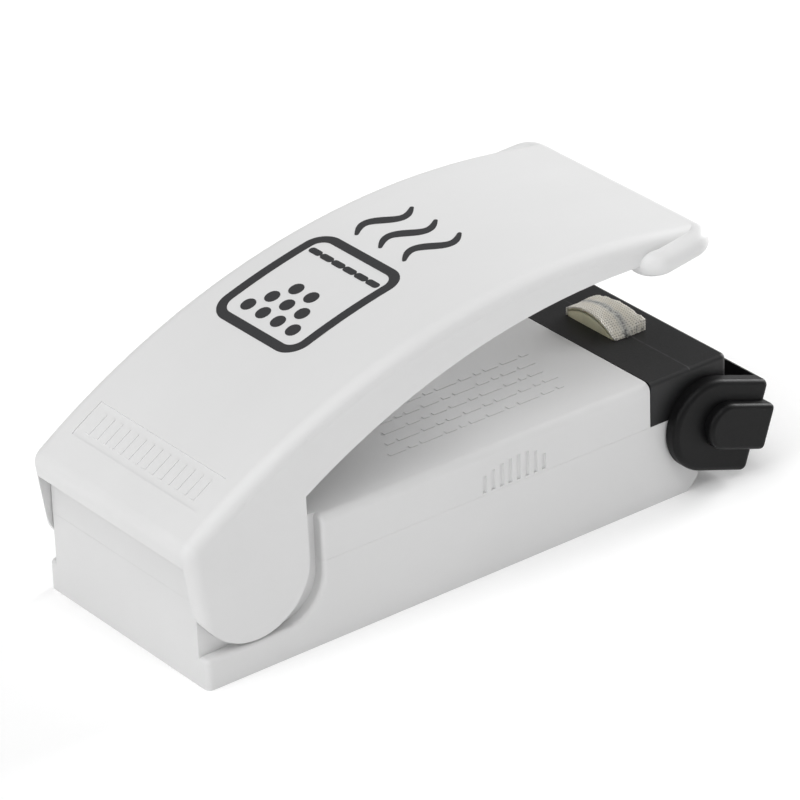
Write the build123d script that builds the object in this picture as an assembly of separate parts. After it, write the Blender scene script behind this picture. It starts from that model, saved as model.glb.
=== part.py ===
from build123d import *
import math
import os

# Handheld bag heat sealer: a battery housing with a black heater block at its front end, a sprung
# lever hinged at the rear and a black safety guard that swings over the heater.
#
# Frame: millimetres, +X towards the heater end, +Y to the left of the sealer, +Z up. Everything is
# modelled from the housing's rear face (X = 0), its middle plane (Y = 0) and its flat bottom (Z = 0),
# and is moved back by MIDDLE_X when it is written, so that the origin is under the middle of the
# whole object. The lever is modelled open and the guard hanging down.

MIDDLE_X = 45.9

# Housing
HALF_WIDTH = 18.0
LOWER_LENGTH = 83.5
UPPER_LENGTH = 74.6
SPLIT_Z = 12.2
TOP_Z = 18.8
WALL = 1.6
FRONT_BEVEL = 2.4
CORNER_R = 0.9
TOP_EDGE_R = 1.2
REAR_TOP_R = 2.8

# Hinge of the lever, and the recess in the housing that its ears turn in
HINGE_X = 8.2
HINGE_Z = 13.6
EAR_R = 8.85
EAR_INNER_Y = 16.4
RECESS_FRONT_X = 19.2
RECESS_FLOOR_Z = 4.4
RECESS_CORNER_R = 6.3
RECESS_RIM_R = 0.6
RECESS_Y = 16.2
HINGE_PEG_R = 2.0
HINGE_PEG_END_Y = 13.2
PEG_CLEARANCE = 0.06
REAR_INNER_Y = 15.0
REAR_ZONE_END_X = 20.5

# Lever: its top is an arc seen from the side
LEVER_TOP_R = 108.56
LEVER_TOP_X = 61.4
LEVER_TOP_Z = -67.0
LEVER_SKIN = 1.8
LEVER_REAR_X = -2.22
LEVER_REAR_R = 2.5
LEVER_RAMP_X = 77.5
LEVER_END_X = 83.9
SKIRT_LOW_Z = 37.1
LEVER_EDGE_R = 2.0
REAR_LIP_INNER_X = -0.4
REAR_LIP_LOW_Z = 18.3
PRESS_ANGLE = 10.8
THUMB_PANEL_HALF = 14.0
LIP_R = 1.75
LIP_X = 83.67
LIP_Z = 37.68
LIP_FRONT_Y = 18.15
LIP_FRONT_R = 1.85
LIP_BEND_X = 74.05
LIP_BEND_Y = 18.95
LIP_BEND_R = 2.0
LIP_START_X = 75.12
LIP_START_Y = 14.45
LIP_TILT = 5.0

# Small relief: grooves in the sides, dashes on the top, and the lever's sunk thumb panel
GROOVE_COUNT = 8
GROOVE_R = 0.36
GROOVE_X = 46.05
GROOVE_PITCH = 1.44
GROOVE_OFFSET_Y = 0.06
GROOVE_TOP_Z = 16.3
GROOVE_PEAK = 4.5
MARK_LENGTHS = (2.6, 1.2, 3.4, 1.8, 0.9, 2.2)
MARK_ROWS = 5
MARK_X = 36.0
MARK_END_X = 68.4
MARK_Y = -10.5
MARK_PITCH = 2.6
MARK_GAP = 0.75
MARK_H = 0.07
PANEL_X = 2.4
PANEL_LENGTH = 5.0
PANEL_DEPTH = 0.15
RIB_COUNT = 14
RIB_PITCH = 1.8
RIB_DEPTH = 0.04

# Heater block and heating pad
BLOCK_REAR_X = 74.75
BLOCK_FRONT_X = 88.3
BLOCK_CEILING_Z = 17.0
PAD_REAR_X = 79.15
PAD_FRONT_X = 84.2
PAD_HALF_LENGTH = 4.95
PAD_POCKET_Z = 18.0
PAD_END_RISE = 1.1
PAD_CREST_RISE = 2.06
RIBBON_T = 0.12
CLOTH_T = 0.2
TERMINAL_X = 81.0
TERMINAL_Y = 9.5
TERMINAL_Z = 14.0

# Guard, drawn from the centre of its rounded ears
GUARD_X = 83.73
GUARD_Z = 10.08
GUARD_R = 6.7
GUARD_REACH = 8.6
GUARD_PLATE_T = 1.2
GUARD_DROOP = 19.0
GUARD_INNER_Y = 18.35
GUARD_OUTER_Y = 20.4
GRIP_OUTER_Y = 22.0
GRIP_REACH = 9.4
GRIP_REAR = -1.7
GRIP_LOW = -3.0
GRIP_HIGH = 3.75
GUARD_PIVOT_X = 80.43
GUARD_PIVOT_Z = 11.85
GUARD_PEG_R = 1.55
GUARD_PEG_END_Y = 14.9

# Two AA cells side by side and their contacts
CELL_R = 7.0
CELL_LENGTH = 50.0
CELL_NUB_R = 2.7
CELL_NUB_H = 1.2
CELL_Y = 7.45
CELL_Z = 9.2
SLEEVE_T = 0.15
REAR_CONTACT_X = 12.0
FRONT_CONTACT_X = 68.3
CONTACT_T = 0.4
CONTACT_BOSS_H = 1.3
NEGATIVE_GAP = FRONT_CONTACT_X - REAR_CONTACT_X - CONTACT_BOSS_H - CELL_LENGTH

# Battery door in the bottom
DOOR_REAR_X = 16.9
DOOR_FRONT_X = 66.7
DOOR_HALF_WIDTH = 14.7
DOOR_LOW_Z = 0.1
DOOR_HIGH_Z = 1.4
DOOR_TRAVEL = 4.0
DOOR_HOOKS_X = (24.0, 58.0)

# Switch worked by a post under the lever
SWITCH_Y = 9.5
POST_X = 69.5
POST_TIP_Z = 27.0
BLADE_PIVOT_X = 77.5
BLADE_PIVOT_Z = 14.2
BLADE_END_X = 70.0
BLADE_RISE = 11.0

# Return spring between the housing and the lever
SPRING_X = 30.0
SPRING_R = 3.2
SPRING_WIRE_R = 0.4
SPRING_SEAT_Z = 32.0

# Screws that hold the housing together, driven from below
SCREW_PLACES = ((5.0, -8.5), (5.0, 8.5), (76.9, 0.0))
SCREW_BOSS_R = 2.7

RIB_PLACES_X = (30.0, 54.0)


def block(x0, x1, y0, y1, z0, z1):
    """A box between two corners."""
    size = Box(x1 - x0, y1 - y0, z1 - z0)
    return Pos((x0 + x1) / 2, (y0 + y1) / 2, (z0 + z1) / 2) * size


def upright(x, y, radius, z0, z1):
    """A cylinder standing along Z."""
    return Pos(x, y, (z0 + z1) / 2) * Cylinder(radius, z1 - z0)


def crosswise(x, z, radius, y0, y1):
    """A cylinder lying along Y."""
    return Pos(x, (y0 + y1) / 2, z) * Rot(90, 0, 0) * Cylinder(radius, y1 - y0)


def lengthwise(y, z, radius, x0, x1):
    """A cylinder lying along X."""
    return Pos((x0 + x1) / 2, y, z) * Rot(0, 90, 0) * Cylinder(radius, x1 - x0)


def both_sides(shape):
    """The shape together with its mirror image across the middle plane."""
    return shape + mirror(shape, about=Plane.XZ)


def slab_from_side(outline, half_width):
    """An outline in X and Z, pushed out to both sides."""
    return extrude(Plane.XZ * make_face(outline), amount=half_width, both=True)


def edges_along_x_at(shape, half_width, z):
    """Straight edges along X at a given height, on both sides."""
    level = [e for e in shape.edges().filter_by(Axis.X) if abs(e.center().Z - z) < 0.01]
    return [e for e in level if abs(abs(e.center().Y) - half_width) < 0.01]


# ---------------------------------------------------------------- housing


def ear_recess():
    """The space cut from both sides of the housing for the lever's ears."""
    space = block(-3, RECESS_FRONT_X, RECESS_Y, HALF_WIDTH + 1, RECESS_FLOOR_Z, TOP_Z + 1)
    low_front = space.edges().filter_by(Axis.Y).sort_by_distance((RECESS_FRONT_X, 0, RECESS_FLOOR_Z))[0]
    return both_sides(fillet(low_front, RECESS_CORNER_R))


def soften_recess_rim(shell):
    """Rounds the edges of both ear recesses on the housing's outer sides."""
    rim = []
    for edge in shell.edges():
        box = edge.bounding_box()
        on_side = min(abs(box.min.Y), abs(box.max.Y)) > HALF_WIDTH - 0.01
        in_length = box.min.X > -0.01 and box.max.X < RECESS_FRONT_X + 0.01
        if on_side and in_length and box.min.Z > RECESS_FLOOR_Z - 0.01:
            rim.append(edge)
    return fillet(rim, RECESS_RIM_R)


def housing_hollow(z0, z1, front_x):
    """The room inside the housing, narrower where the ears are recessed."""
    rear = block(WALL, REAR_ZONE_END_X, -REAR_INNER_Y, REAR_INNER_Y, z0, z1)
    inner_y = HALF_WIDTH - WALL
    return rear + block(REAR_ZONE_END_X - 0.1, front_x, -inner_y, inner_y, z0, z1)


def hinge_bearings():
    """Rings inside the side walls that carry the lever's pegs."""
    ring = crosswise(HINGE_X, HINGE_Z, HINGE_PEG_R + 1.6, HINGE_PEG_END_Y - 0.2, REAR_INNER_Y + 0.2)
    return both_sides(ring)


def hinge_holes():
    hole = crosswise(HINGE_X, HINGE_Z, HINGE_PEG_R + PEG_CLEARANCE, HINGE_PEG_END_Y - 0.5, HALF_WIDTH + 1)
    return both_sides(hole)


def guard_bearings():
    """Rings inside the front side walls that carry the guard's pegs."""
    inner_y = HALF_WIDTH - WALL
    ring = crosswise(GUARD_PIVOT_X, GUARD_PIVOT_Z, GUARD_PEG_R + 1.2, GUARD_PEG_END_Y, inner_y + 0.2)
    return both_sides(ring)


def guard_holes():
    radius = GUARD_PEG_R + PEG_CLEARANCE
    hole = crosswise(GUARD_PIVOT_X, GUARD_PIVOT_Z, radius, GUARD_PEG_END_Y - 0.5, HALF_WIDTH + 1)
    return both_sides(hole)


def battery_room(clearance):
    """Both cells' cylinders, enlarged, for cutting saddles that hold them."""
    near = lengthwise(-CELL_Y, CELL_Z, CELL_R + clearance, REAR_CONTACT_X, FRONT_CONTACT_X)
    far = lengthwise(CELL_Y, CELL_Z, CELL_R + clearance, REAR_CONTACT_X, FRONT_CONTACT_X)
    return near + far


def door_opening():
    """The opening for the battery door, with a finger recess behind it."""
    rear_x = DOOR_REAR_X - DOOR_TRAVEL - 0.2
    half = DOOR_HALF_WIDTH + 0.2
    return block(rear_x, DOOR_FRONT_X + 0.2, -half, half, -1, WALL + 0.05)


def door_rails():
    """Ledges over both long edges of the door, notched where its hooks lift out."""
    rail = block(12.3, 67.5, 13.9, HALF_WIDTH - WALL + 0.1, WALL, WALL + 1.0)
    rail -= block(0, REAR_ZONE_END_X, REAR_INNER_Y + 0.1, HALF_WIDTH, 0, SPLIT_Z)
    for hook_x in DOOR_HOOKS_X:
        notch_x = hook_x - DOOR_TRAVEL
        rail -= block(notch_x - 2.4, notch_x + 2.4, 13, 15.3, WALL - 0.5, WALL + 2)
    roof = block(12.5, 17.4, -12.8, 12.8, WALL, WALL + 0.45)
    roof_tie = block(12.5, 16.6, 12.7, 14.2, WALL, WALL + 0.45)
    return both_sides(rail) + roof + both_sides(roof_tie)


def bulkheads():
    """Cross walls behind the battery contacts."""
    rear = block(10.2, REAR_CONTACT_X - CONTACT_T - 0.05, -12.7, 12.7, WALL, SPLIT_Z)
    front_x = FRONT_CONTACT_X + CONTACT_T + 0.05
    front = block(front_x, front_x + 1.0, -14.5, 14.5, WALL, SPLIT_Z)
    return rear + front


def switch_post():
    """Pillar that carries the fixed contact of the switch."""
    return block(69.7, 73.0, SWITCH_Y - 1.7, SWITCH_Y + 1.7, WALL, 13.0)


def front_bevel():
    """The wedge cut off the bottom of the front."""
    face_middle = Pos(LOWER_LENGTH - FRONT_BEVEL / 2, 0, FRONT_BEVEL / 2)
    return face_middle * Rot(0, 45, 0) * block(0, 8, -HALF_WIDTH - 1, HALF_WIDTH + 1, -8, 8)


def lower_housing():
    shell = block(0, LOWER_LENGTH, -HALF_WIDTH, HALF_WIDTH, 0, SPLIT_Z)
    shell = fillet(shell.edges().filter_by(Axis.Z), CORNER_R)
    shell -= front_bevel()
    shell -= housing_hollow(WALL, SPLIT_Z + 1, LOWER_LENGTH - WALL)
    shell -= ear_recess()
    shell -= door_opening()
    bosses = Part() + [upright(x, y, SCREW_BOSS_R, 0.2, SPLIT_Z) for x, y in SCREW_PLACES]
    extras = hinge_bearings() + guard_bearings()
    extras -= block(-5, 100, -30, 30, SPLIT_Z, 40)
    shell = shell + bosses + extras + door_rails() + bulkheads() + switch_post()
    for x, y in SCREW_PLACES:
        shell -= upright(x, y, 2.3, -1, 2.2)
        shell -= upright(x, y, 1.25, 2, SPLIT_Z + 1)
    return soften_recess_rim(shell - hinge_holes() - guard_holes())


def grip_grooves():
    """Eight shallow upright grooves on each side; their tops follow a lopsided arch."""
    grooves = Part()
    for i in range(GROOVE_COUNT):
        from_peak = i - GROOVE_PEAK
        top_z = GROOVE_TOP_Z - (0.06 if from_peak < 0 else 0.22) * from_peak**2
        x = GROOVE_X + GROOVE_PITCH * i
        grooves += upright(x, HALF_WIDTH + GROOVE_OFFSET_Y, GROOVE_R, SPLIT_Z + 0.35, top_z)
    return both_sides(grooves)


def plain_marks():
    """Five rows of faint raised dashes on the housing's top, in place of any wording."""
    marks = Part()
    for i in range(MARK_ROWS):
        y = MARK_Y + MARK_PITCH * i
        x = MARK_X + 1.5 * i
        k = i
        end_x = x + MARK_LENGTHS[k]
        while end_x < MARK_END_X:
            marks += block(x, end_x, y - 0.35, y + 0.35, TOP_Z - 0.2, TOP_Z + MARK_H)
            x = end_x + MARK_GAP
            k = (k + 1) % len(MARK_LENGTHS)
            end_x = x + MARK_LENGTHS[k]
    return marks


def rear_top_round():
    """What is cut away to round the top of the rear face under the lever's plate."""
    centre_z = TOP_Z - REAR_TOP_R
    corner = block(-1, REAR_TOP_R, -HALF_WIDTH - 1, HALF_WIDTH + 1, centre_z, TOP_Z + 1)
    return corner - crosswise(REAR_TOP_R, centre_z, REAR_TOP_R, -HALF_WIDTH - 2, HALF_WIDTH + 2)


def upper_housing():
    shell = block(0, UPPER_LENGTH, -HALF_WIDTH, HALF_WIDTH, SPLIT_Z + 0.02, TOP_Z)
    shell = fillet(shell.edges().filter_by(Axis.Z).group_by(Axis.X)[0], CORNER_R)
    shell = fillet(edges_along_x_at(shell, HALF_WIDTH, TOP_Z), TOP_EDGE_R)
    shell -= ear_recess()
    shell -= rear_top_round()
    hollow = housing_hollow(SPLIT_Z - 1, TOP_Z - WALL, UPPER_LENGTH + 1)
    hollow -= block(0, 5.2, -20, 20, 13.6, TOP_Z)
    shell -= hollow
    saddles = Part()
    for x in RIB_PLACES_X:
        saddles += block(x - 0.6, x + 0.6, -14.4, 14.4, 12.9, TOP_Z - WALL + 0.2)
    saddles -= battery_room(0.2)
    bearings = hinge_bearings() - block(-5, 100, -30, 30, 0, SPLIT_Z + 0.02)
    bosses = Part() + [upright(x, y, SCREW_BOSS_R, SPLIT_Z + 0.02, 16.2) for x, y in SCREW_PLACES[:2]]
    spring_nub = upright(SPRING_X, 0, 2.2, TOP_Z - 0.2, TOP_Z + 2.2)
    shell = shell + saddles + bearings + bosses + spring_nub + plain_marks() - grip_grooves()
    for x, y in SCREW_PLACES[:2]:
        shell -= upright(x, y, 1.06, SPLIT_Z - 1, 15.6)
    slot = block(69.0, 73.6, SWITCH_Y - 1.25, SWITCH_Y + 1.25, 16, 20)
    return soften_recess_rim(shell - hinge_holes() - slot)


def battery_door():
    plate = block(DOOR_REAR_X, DOOR_FRONT_X, -DOOR_HALF_WIDTH, DOOR_HALF_WIDTH, DOOR_LOW_Z, DOOR_HIGH_Z)
    plate = fillet(plate.edges().filter_by(Axis.Z), 1.0)
    for i in range(5):
        x = DOOR_REAR_X + 3.5 + 1.8 * i
        plate -= block(x - 0.4, x + 0.4, -5, 5, -0.5, DOOR_LOW_Z + 0.4)
    hooks = Part()
    for x in DOOR_HOOKS_X:
        leg = block(x - 2, x + 2, 12.9, 13.7, DOOR_HIGH_Z - 0.2, 3.5)
        foot = block(x - 2, x + 2, 13.6, 14.9, 2.75, 3.5)
        hooks += leg + foot
    saddles = Part()
    for x in RIB_PLACES_X:
        saddles += block(x - 0.6, x + 0.6, -12.2, 12.2, DOOR_HIGH_Z - 0.2, 3.4)
    return plate + both_sides(hooks) + saddles - battery_room(0.2)


def screw(x, y, head_low, head_high, head_r, shank_r, tip_z):
    """A cross-headed screw driven upwards."""
    shape = upright(x, y, head_r, head_low, head_high) + upright(x, y, shank_r, head_high, tip_z)
    for turn in (0, 90):
        arm = Box(head_r * 1.3, 0.5, 1.0)
        shape -= Pos(x, y, head_low) * Rot(0, 0, turn) * arm
    return shape


def housing_screws():
    return Part() + [screw(x, y, 0.7, 2.2, 2.0, 1.05, 15.0) for x, y in SCREW_PLACES]


# ---------------------------------------------------------------- lever


def lever_z(x, inset=0.0):
    """Height of the lever's top arc, or of a surface inset below it."""
    radius = LEVER_TOP_R - inset
    return LEVER_TOP_Z + math.sqrt(radius**2 - (x - LEVER_TOP_X) ** 2)


def region_under_top(inset, x0, x1, half_width):
    """Everything below the lever's arched top, less an inset."""
    middle = (x0 + x1) / 2
    low = -10
    start = (x0, lever_z(x0, inset))
    end = (x1, lever_z(x1, inset))
    outline = [
        ThreePointArc(start, (middle, lever_z(middle, inset)), end),
        Line(end, (x1, low)),
        Line((x1, low), (x0, low)),
        Line((x0, low), start),
    ]
    return slab_from_side(outline, half_width)


def lever_side():
    """The lever from the side: arched top, tapering skirt, round ear and straight rear edge."""
    rear_top = (LEVER_REAR_X, lever_z(LEVER_REAR_X))
    ramp_top = (LEVER_RAMP_X, lever_z(LEVER_RAMP_X))
    fall = (LEVER_RAMP_X - LEVER_TOP_X) / (ramp_top[1] - LEVER_TOP_Z)
    front_top = (LEVER_END_X, ramp_top[1] - fall * (LEVER_END_X - LEVER_RAMP_X))
    front_low = (LEVER_END_X, SKIRT_LOW_Z)
    skirt_front = (71.3, SKIRT_LOW_Z)
    skirt_rear = (16.9, 22.7)
    ear_front = (HINGE_X + EAR_R, HINGE_Z)
    ear_low = (1.23, 8.15)
    ear_rear = (-0.84, 11.58)
    face = make_face([
        ThreePointArc(rear_top, (40, lever_z(40)), ramp_top),
        Line(ramp_top, front_top),
        Line(front_top, front_low),
        Line(front_low, skirt_front),
        ThreePointArc(skirt_front, (41, 33.2), skirt_rear),
        Line(skirt_rear, ear_front),
        ThreePointArc(ear_front, (HINGE_X, HINGE_Z - EAR_R), ear_low),
        ThreePointArc(ear_low, (-0.1, 9.9), ear_rear),
        Line(ear_rear, rear_top),
    ])
    corner = face.vertices().sort_by_distance((LEVER_REAR_X, lever_z(LEVER_REAR_X), 0))[0]
    return fillet(corner, LEVER_REAR_R)


def press_frame():
    """Frame on the face that presses the pad; it is level when the lever is pressed."""
    reach = (PAD_REAR_X + PAD_FRONT_X) / 2 - HINGE_X
    rise = TOP_Z + PAD_CREST_RISE + RIBBON_T + CLOTH_T + 0.12 - HINGE_Z
    turn = math.radians(PRESS_ANGLE)
    x = HINGE_X + reach * math.cos(turn) - rise * math.sin(turn)
    z = HINGE_Z + rise * math.cos(turn) + reach * math.sin(turn)
    return Pos(x, 0, z) * Rot(0, -PRESS_ANGLE, 0)


def lip():
    """Rounded bar round the lever's front; its ends turn in under the skirts."""
    path = Plane.XY * FilletPolyline(
        (LIP_START_X, -LIP_START_Y),
        (LIP_BEND_X, -LIP_BEND_Y),
        (LIP_X, -LIP_FRONT_Y),
        (LIP_X, LIP_FRONT_Y),
        (LIP_BEND_X, LIP_BEND_Y),
        (LIP_START_X, LIP_START_Y),
        radius=(LIP_BEND_R, LIP_FRONT_R, LIP_FRONT_R, LIP_BEND_R),
    )
    start = Plane(origin=path @ 0, z_dir=path % 0)
    bar = sweep(start * Circle(LIP_R), path=path)
    ends = bar.faces().filter_by(GeomType.PLANE)
    bar = fillet(ends.edges(), LIP_R - 0.4)
    return Pos(LIP_X, 0, LIP_Z) * Rot(0, -LIP_TILT, 0) * Pos(-LIP_X, 0, 0) * bar


def thumb_panel():
    """Shallow panel sunk in the lever's rear top, less the plain ribs that stand in it."""
    sunk = region_under_top(-1, 1.0, 12.0, 16) - region_under_top(PANEL_DEPTH, 0.5, 12.5, 17)
    above_ribs = region_under_top(-2, 1.0, 12.0, 16) - region_under_top(RIB_DEPTH, 0.5, 12.5, 17)
    end_x = PANEL_X + PANEL_LENGTH
    panel = block(PANEL_X, end_x, -THUMB_PANEL_HALF, THUMB_PANEL_HALF, 10, 50)
    for i in range(RIB_COUNT):
        y = RIB_PITCH * (i - (RIB_COUNT - 1) / 2)
        panel -= block(PANEL_X + 1, end_x - 1, y - 0.4, y + 0.4, 10, 50) - above_ribs
    return panel & sunk


def lever_arm():
    body = extrude(Plane.XZ * lever_side(), amount=HALF_WIDTH, both=True)
    side_edges = [e for e in body.edges() if abs(e.center().Y) > HALF_WIDTH - 0.01]
    top_edges = sorted(side_edges, key=lambda e: e.length)[-2:]
    body = fillet(top_edges, LEVER_EDGE_R)
    body -= region_under_top(LEVER_SKIN, REAR_LIP_INNER_X, LEVER_END_X - 1.7, EAR_INNER_Y)
    body -= block(-3, 0, -EAR_INNER_Y, EAR_INNER_Y, -1, REAR_LIP_LOW_Z)
    body += lip()

    inner_region = region_under_top(LEVER_SKIN / 2, 0, 82, EAR_INNER_Y + 0.3)
    seat = upright(SPRING_X, 0, 4.4, SPRING_SEAT_Z, 40) + upright(SPRING_X, 0, 2.2, SPRING_SEAT_Z - 2.4, 40)
    post = block(POST_X - 1.1, POST_X + 1.1, SWITCH_Y - 0.9, SWITCH_Y + 0.9, POST_TIP_Z, 40)
    post += block(POST_X - 2.6, POST_X + 2.6, SWITCH_Y - 0.5, SWITCH_Y + 0.5, 34, 40)
    holder = press_frame() * block(-4.6, 4.6, -13.4, 13.4, 0.8, 4)
    ribs = Part()
    for x in (14.0, 44.0, 57.0):
        low = lever_z(x, LEVER_SKIN) - 1.6
        ribs += block(x - 0.5, x + 0.5, -EAR_INNER_Y, EAR_INNER_Y, low, low + 6)
    body += (seat + post + holder + ribs) & inner_region
    body -= press_frame() * block(-3.4, 3.4, -12.1, 12.1, -1, 1.7)
    pegs = both_sides(crosswise(HINGE_X, HINGE_Z, HINGE_PEG_R, HINGE_PEG_END_Y, EAR_INNER_Y + 0.3))
    return body + pegs - thumb_panel()


def press_pad():
    """Silicone strip under the lever that squeezes the bag on to the heating pad."""
    return press_frame() * block(-3.35, 3.35, -12.0, 12.0, 0, 1.65)


def return_spring():
    low = TOP_Z + SPRING_WIRE_R + 0.02
    high = SPRING_SEAT_Z - SPRING_WIRE_R - 0.02
    turns = 6
    path = Helix(pitch=(high - low) / turns, height=high - low, radius=SPRING_R)
    wire = sweep(Plane(origin=path @ 0, z_dir=path % 0) * Circle(SPRING_WIRE_R), path=path, is_frenet=True)
    return Pos(SPRING_X, 0, low) * wire


# ---------------------------------------------------------------- heater


def heater_block():
    shape = block(BLOCK_REAR_X, BLOCK_FRONT_X, -HALF_WIDTH, HALF_WIDTH, SPLIT_Z + 0.02, TOP_Z)
    front_edges = shape.edges().filter_by(Axis.Z).group_by(Axis.X)[-1]
    shape = fillet(front_edges, 0.9)
    top_edges = shape.faces().sort_by(Axis.Z)[-1].edges()
    shape = fillet(top_edges.filter_by(lambda e: e.center().X > BLOCK_REAR_X + 0.5), 0.7)
    inner_y = HALF_WIDTH - WALL
    shape -= block(BLOCK_REAR_X - 1, LOWER_LENGTH - 0.2, -inner_y, inner_y, 11, BLOCK_CEILING_Z)
    shape -= block(80, BLOCK_FRONT_X - WALL, -inner_y, inner_y, 13.7, BLOCK_CEILING_Z)
    bearings = guard_bearings() - block(-5, 100, -30, 30, 0, SPLIT_Z + 0.02)
    shape += bearings
    shape += upright(SCREW_PLACES[2][0], 0, SCREW_BOSS_R, SPLIT_Z + 0.02, BLOCK_CEILING_Z + 0.2)
    for side in (-1, 1):
        shape += upright(TERMINAL_X, side * TERMINAL_Y, 2.2, TERMINAL_Z + CONTACT_T, BLOCK_CEILING_Z + 0.2)
        shape -= upright(TERMINAL_X, side * TERMINAL_Y, 0.96, 13, 17.6)
    shape -= upright(SCREW_PLACES[2][0], 0, 1.06, 12, 15.6)
    pocket_y = PAD_HALF_LENGTH + 0.05
    shape -= block(PAD_REAR_X - 0.05, PAD_FRONT_X + 0.05, -pocket_y, pocket_y, PAD_POCKET_Z, 20)
    middle_x = (PAD_REAR_X + PAD_FRONT_X) / 2
    slit = block(middle_x - 1.2, middle_x + 1.2, PAD_HALF_LENGTH - 0.2, PAD_HALF_LENGTH + 0.5, 16, 20)
    shape -= both_sides(slit)
    return shape - guard_holes()


def pad_arch_outline(half_length, rise, foot_z):
    """Across the heating pad: flat foot, low ends and a crowned top."""
    end_z = TOP_Z + PAD_END_RISE + rise
    crest_z = TOP_Z + PAD_CREST_RISE + rise
    return [
        Line((-half_length, foot_z), (half_length, foot_z)),
        Line((half_length, foot_z), (half_length, end_z)),
        ThreePointArc((half_length, end_z), (0, crest_z), (-half_length, end_z)),
        Line((-half_length, end_z), (-half_length, foot_z)),
    ]


def arch_solid(half_length, rise, foot_z, x0, x1):
    face = Plane.YZ * make_face(pad_arch_outline(half_length, rise, foot_z))
    return Pos(x0, 0, 0) * extrude(face, amount=x1 - x0)


def heater_core():
    """Silicone cushion under the heating ribbon."""
    return arch_solid(PAD_HALF_LENGTH, 0, PAD_POCKET_Z, PAD_REAR_X, PAD_FRONT_X)


def heating_ribbon():
    """Nichrome strip over the cushion, with both ends led down to the terminals."""
    middle_x = (PAD_REAR_X + PAD_FRONT_X) / 2
    x0 = middle_x - 1.0
    x1 = middle_x + 1.0
    low = TERMINAL_Z
    outer = arch_solid(PAD_HALF_LENGTH + 0.05 + RIBBON_T, RIBBON_T, low, x0, x1)
    inner = arch_solid(PAD_HALF_LENGTH + 0.05, 0.01, low - 1, x0 - 1, x1 + 1)
    return outer - inner


def heater_cloth():
    """Non-stick glass cloth over the ribbon and the cushion."""
    step = RIBBON_T + 0.02
    half = PAD_HALF_LENGTH + 0.05 + step
    outer = arch_solid(half + CLOTH_T, step + CLOTH_T, TOP_Z + 0.02, PAD_REAR_X, PAD_FRONT_X)
    return outer - arch_solid(half, step, TOP_Z - 1, PAD_REAR_X - 1, PAD_FRONT_X + 1)


def terminal(side, rear_x):
    """Brass strip screwed under the block; it holds one end of the ribbon."""
    y0 = PAD_HALF_LENGTH + 0.05 + RIBBON_T
    strip = block(rear_x, 83.2, y0, SWITCH_Y + 2.2, TERMINAL_Z, TERMINAL_Z + CONTACT_T)
    strip -= upright(TERMINAL_X, TERMINAL_Y, 1.05, 13, 16)
    return strip if side > 0 else mirror(strip, about=Plane.XZ)


def terminal_screws():
    places = ((TERMINAL_X, -TERMINAL_Y), (TERMINAL_X, TERMINAL_Y))
    return Part() + [screw(x, y, 12.9, TERMINAL_Z, 1.7, 0.95, 17.3) for x, y in places]


# ---------------------------------------------------------------- switch


def switch_blade():
    """Springy strip pushed down by the lever's post, with a contact button under its end."""
    length = BLADE_PIVOT_X - BLADE_END_X
    strip = block(-length, -0.05, SWITCH_Y - 1.5, SWITCH_Y + 1.5, -0.12, 0.13)
    strip += upright(-length + 1.2, SWITCH_Y, 0.8, -0.5, 0.1)
    return Pos(BLADE_PIVOT_X, 0, BLADE_PIVOT_Z) * Rot(0, BLADE_RISE, 0) * strip


def switch_fixed_contact():
    """Strip on the pillar with a button on top and a solder tail down its side."""
    top = block(69.8, 72.9, SWITCH_Y - 1.7, SWITCH_Y + 1.4, 13.02, 13.3)
    tail = block(70.4, 72.0, SWITCH_Y - 2.02, SWITCH_Y - 1.72, 9.0, 13.3)
    bridge = block(70.4, 72.0, SWITCH_Y - 2.02, SWITCH_Y - 1.6, 13.02, 13.3)
    return top + bridge + tail + upright(71.2, SWITCH_Y, 0.9, 13.2, 13.9)


def wire(points, radius):
    """A hook-up wire along straight runs joined by arcs."""
    path = FilletPolyline(*points, radius=radius)
    return sweep(Plane(origin=path @ 0, z_dir=path % 0) * Circle(0.45), path=path)


def lead_wire_positive():
    front = FRONT_CONTACT_X + CONTACT_T + 0.02
    z = 13.3
    return wire([(front, -CELL_Y, z), (73.0, -CELL_Y, z), (75.8, -9.5, z + 0.9), (78.7, -9.5, z + 0.9)], 1.6)


def lead_wire_switch():
    front = FRONT_CONTACT_X + CONTACT_T + 0.02
    y_tail = SWITCH_Y - 2.04
    return wire([(front, 4.0, 13.3), (71.2, 4.0, 13.3), (71.2, 4.0, 10.2), (71.2, y_tail, 10.2)], 1.0)


# ---------------------------------------------------------------- battery contacts and cells


def contact_plate(x0, y0, y1, tab_y):
    """Sheet-metal contact standing across the end of a cell, with a solder tab on top."""
    plate = block(x0, x0 + CONTACT_T, y0, y1, 3.6, 14.4)
    plate = fillet(plate.edges().filter_by(Axis.X), 1.0)
    if tab_y is not None:
        plate += block(x0, x0 + CONTACT_T, tab_y - 1.2, tab_y + 1.2, 12, 15.4)
    return plate


def rear_contact_plate():
    """Joins the two cells in series."""
    plate = contact_plate(REAR_CONTACT_X - CONTACT_T, -12.4, 12.4, None)
    boss_x = REAR_CONTACT_X + CONTACT_BOSS_H - 0.02
    return plate + lengthwise(CELL_Y, CELL_Z, 2.5, REAR_CONTACT_X - 0.1, boss_x)


def front_positive_contact():
    plate = contact_plate(FRONT_CONTACT_X, -13.0, -2.0, -CELL_Y)
    boss_x = FRONT_CONTACT_X - CONTACT_BOSS_H + 0.02
    return plate + lengthwise(-CELL_Y, CELL_Z, 2.5, boss_x, FRONT_CONTACT_X + 0.1)


def front_negative_contact():
    return contact_plate(FRONT_CONTACT_X, 2.0, 13.0, 4.0)


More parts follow.
